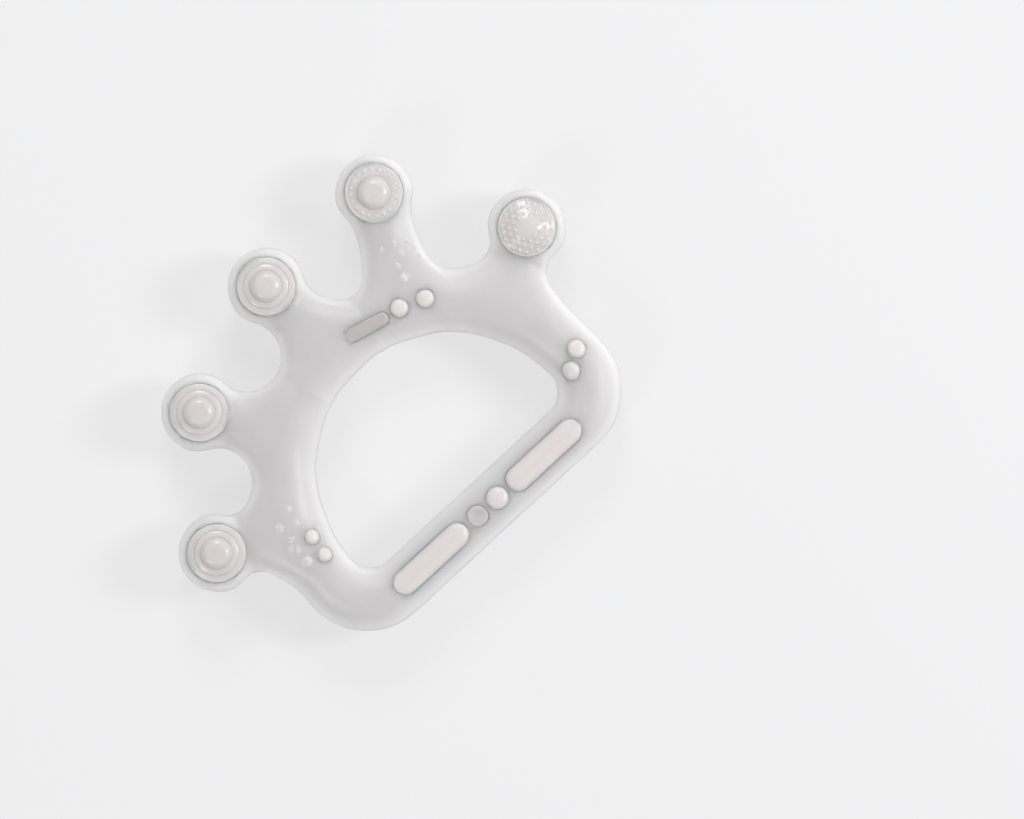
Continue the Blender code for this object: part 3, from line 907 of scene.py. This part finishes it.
frosted, tree, shader = new_material("frosted_silicone", 1.41)
set_scatter(shader, 0.0, 0.004, (1.0, 0.92, 0.90))
geometry = tree.nodes.new("ShaderNodeNewGeometry")
axes_of_normal = tree.nodes.new("ShaderNodeSeparateXYZ")
tree.links.new(geometry.outputs["Normal"], axes_of_normal.inputs["Vector"])
upward = tree.nodes.new("ShaderNodeMath")
upward.operation = "ABSOLUTE"
tree.links.new(axes_of_normal.outputs["Z"], upward.inputs[0])
rim_to_top = spread(tree, upward.outputs["Value"], 0.5, 1.0, 0.0, 1.0)
# painted shade where the normal lies nearly flat, along the outline
painted_edge_shade_mask = spread(tree, upward.outputs["Value"], 0.0, 0.22, 1.0, 0.0)
tree.links.new(spread(tree, upward.outputs["Value"], 0.5, 1.0, RIM_CLEAR, TOP_CLEAR),
               shader.inputs["Transmission Weight"])
# painted light on the rims, blended in by how far the normal turns up
base = blend_colours(tree, rim_to_top, WARM_PAINTED_LIGHT_RIM, COOL_TOP)
base = blend_colours(tree, painted_edge_shade_mask, base, PAINTED_EDGE_SHADE)
clouds = spread(tree, noise(tree, 95), 0.38, 0.66, 0.0, 0.6)
base = blend_colours(tree, clouds, base, MILKY_CLOUD)
tree.links.new(base, shader.inputs["Base Color"])
tree.links.new(spread(tree, noise(tree, 160), 0.3, 0.7, 0.36, 0.46), shader.inputs["Roughness"])
add_bump(tree, shader, ((noise(tree, 140, 1), 0.00020), (noise(tree, 2600), 0.00001)))
dress((front_body, back_body), frosted)
print(frosted.name, len(tree.nodes), "nodes")

# %% [markdown]
# ## Soft white silicone
#
# Pads, bars and dots are the same rubber with more filler, polished where the body is frosted. It
# is whiter, a touch pink, lets less light through, and takes small sharp highlights. The rib is
# tinted down to the body's tone, because it is only a raised line on the band.

# %% White silicone for pads, bars and dots


def white_silicone(name, low, high, transmission, gloss):
    mat, tree, shader = new_material(name, 1.43)
    set_scatter(shader, transmission, 0.0012, (1.0, 0.90, 0.88))
    mottle = spread(tree, noise(tree, 240), 0.36, 0.64, 0.0, 1.0)
    tree.links.new(blend_colours(tree, mottle, low, high), shader.inputs["Base Color"])
    tree.links.new(spread(tree, noise(tree, 500), 0.3, 0.7, *gloss), shader.inputs["Roughness"])
    add_bump(tree, shader, ((noise(tree, 200, 0), 0.00001),))
    return mat


pad_finish = white_silicone("pad_silicone", (0.745, 0.713, 0.708), (0.775, 0.743, 0.738), 0.2,
                            (0.13, 0.20))
bar_finish = white_silicone("bar_silicone", (0.74, 0.70, 0.694), (0.75, 0.712, 0.707), 0.1,
                            (0.28, 0.36))
dress([ob for ob in white_pieces if "pad" in ob.name], pad_finish)
dress([ob for ob in white_pieces if "pad" not in ob.name], bar_finish)
rib_finish = white_silicone("rib_silicone", (0.47, 0.45, 0.452), (0.50, 0.48, 0.482), 0.0,
                            (0.36, 0.46))
dress((rib,), rib_finish)
print(pad_finish.name, bar_finish.name, rib_finish.name)

# %% [markdown]
# ## Plug and gel
#
# The plug is plainer grey rubber with a slightly scuffed face. The gel is nearly clear with a
# breath of blue, and its slow bump stands for the uneven inside of the mould.

# %% Plug rubber and clear gel
plug_rubber, tree, shader = new_material("plug_rubber", 1.43)
set_scatter(shader, 0.35, 0.002, (1.0, 0.95, 0.95))
scuffs = spread(tree, noise(tree, 700, 3), 0.36, 0.64, 0.0, 1.0)
tree.links.new(blend_colours(tree, scuffs, (0.72, 0.70, 0.705), (0.80, 0.785, 0.79)),
               shader.inputs["Base Color"])
tree.links.new(spread(tree, noise(tree, 900), 0.3, 0.7, 0.28, 0.45), shader.inputs["Roughness"])
add_bump(tree, shader, ((noise(tree, 900, 1), 0.00003),))
dress((plug,), plug_rubber)

clear_gel, tree, shader = new_material("clear_gel", 1.33)
shader.inputs["Transmission Weight"].default_value = 1.0
shader.inputs["Roughness"].default_value = 0.08
drift = spread(tree, noise(tree, 110), 0.36, 0.64, 0.0, 1.0)
tree.links.new(blend_colours(tree, drift, (0.90, 0.92, 0.96), (0.97, 0.98, 1.0)),
               shader.inputs["Base Color"])
add_bump(tree, shader, ((noise(tree, 240, 1), 0.0001),))
dress((gel,), clear_gel)
print(plug_rubber.name, "and", clear_gel.name)

# %% [markdown]
# ## A lit table
#
# Clear and milky things are best shown on a lit table, because they need light from below as
# well as above: then they glow, and hardly throw a shadow. The floor is a pale sheet that shines
# a little by itself.

# %% Floor
bm = bmesh.new()
bmesh.ops.create_grid(bm, x_segments=1, y_segments=1, size=1.5)
table = to_object("lit_table", bm)
sheet, tree, shader = new_material("pale_sheet", 1.45)
shader.inputs["Base Color"].default_value = (0.22, 0.22, 0.225, 1)
shader.inputs["Roughness"].default_value = 0.9
shader.inputs["Emission Color"].default_value = (1.0, 1.0, 1.008, 1)
shader.inputs["Emission Strength"].default_value = 0.605
dress((table,), sheet)
print("table ready")

# %% [markdown]
# ## Camera and lights
#
# The camera looks straight down on the ring, turned so that the grip bar runs up to the right. It
# stands far off with a long lens, which keeps the knobs' tops from sliding outwards past their
# rims. Three small softboxes stand to the right, at the lower left and above: each leaves its own
# highlight on every dome, and the even sky between them fills the rest.

# %% Camera
RIGHT = Vector((0.7349, -0.6782, 0))
UP = Vector((0.6782, 0.7349, 0))
CAMERA_DISTANCE = 1.5
VIEW_WIDTH = 0.19505  # metres across the frame at the ring
AIM_OFFSET = Vector((0.01596, 0.00131, 0))
SENSOR = 36

camera = bpy.data.objects.new("camera", bpy.data.cameras.new("camera"))
bpy.context.scene.collection.objects.link(camera)
camera.data.sensor_width = SENSOR
camera.data.lens = SENSOR * CAMERA_DISTANCE / VIEW_WIDTH
turn = Matrix((RIGHT, UP, Vector((0, 0, 1)))).transposed().to_4x4()
turn.translation = CENTRE + AIM_OFFSET + Vector((0, 0, CAMERA_DISTANCE))
camera.matrix_world = turn
bpy.context.scene.camera = camera
print("lens", round(camera.data.lens), "mm")

# %% Lights


def softbox(name, across, up, height, size, power):
    light = bpy.data.lights.new(name, "AREA")
    light.size = size
    light.energy = power
    ob = bpy.data.objects.new(name, light)
    bpy.context.scene.collection.objects.link(ob)
    ob.location = CENTRE + RIGHT * across + UP * up + Vector((0, 0, height))
    ob.rotation_euler = (CENTRE - ob.location).to_track_quat("-Z", "Y").to_euler()


softbox("right_softbox", 0.5, 0.1, 0.40, 0.16, 2.1)
softbox("low_left_softbox", -0.35, -0.4, 0.45, 0.18, 1.1)
softbox("top_softbox", -0.05, 0.5, 0.40, 0.22, 1.4)
sky = bpy.data.worlds.new("even_sky")
sky.use_nodes = True
sky.node_tree.nodes["Background"].inputs["Color"].default_value = (1, 1, 1, 1)
sky.node_tree.nodes["Background"].inputs["Strength"].default_value = 0.50
bpy.context.scene.world = sky
bpy.context.scene.view_settings.view_transform = "Standard"
print("three softboxes and a sky")
